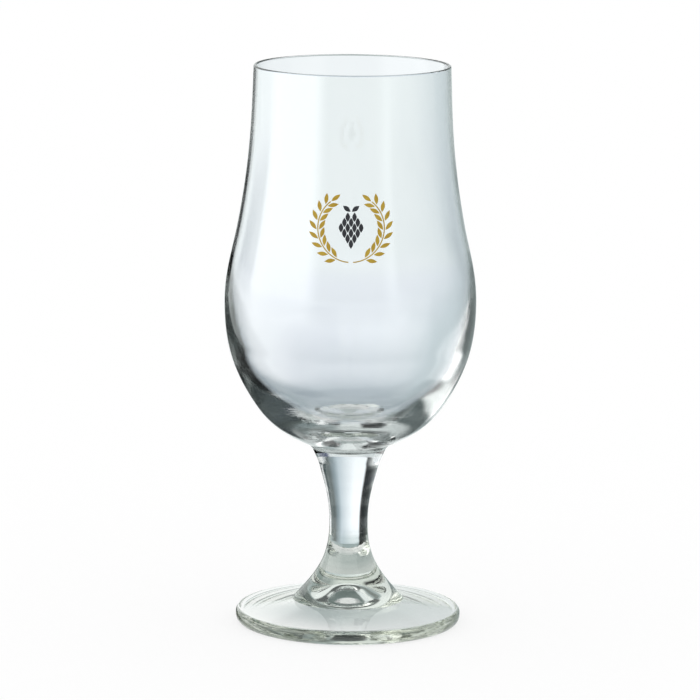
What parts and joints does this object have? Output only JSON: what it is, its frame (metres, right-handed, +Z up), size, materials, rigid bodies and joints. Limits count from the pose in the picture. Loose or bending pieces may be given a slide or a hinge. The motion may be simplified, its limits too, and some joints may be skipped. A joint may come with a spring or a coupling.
{
  "type": "stemmed beer glass",
  "caption": "Clear stemmed beer glass: a tulip bowl with a thick base, on a short solid stem and a disc foot hollowed beneath, with a small print on the front of the bowl.",
  "frame": {"origin": "middle of the standing ring, on the surface that the glass stands on", "axes": "+Z up along the axis of the glass; the print faces -Y"},
  "size_m": [0.0794, 0.0794, 0.178],
  "materials": {
    "bowl_glass": "clear polished soda-lime glass",
    "foot_glass": "clear polished soda-lime glass, faintly green in its thick edge",
    "gold_ink": "fired enamel ink, satin",
    "dark_ink": "fired enamel ink, satin"
  },
  "bodies": {
    "root": {"bowl": "bowl_glass", "stem": "bowl_glass", "foot": "foot_glass", "gold_print": "gold_ink", "dark_print": "dark_ink"}
  },
  "joints": []
}
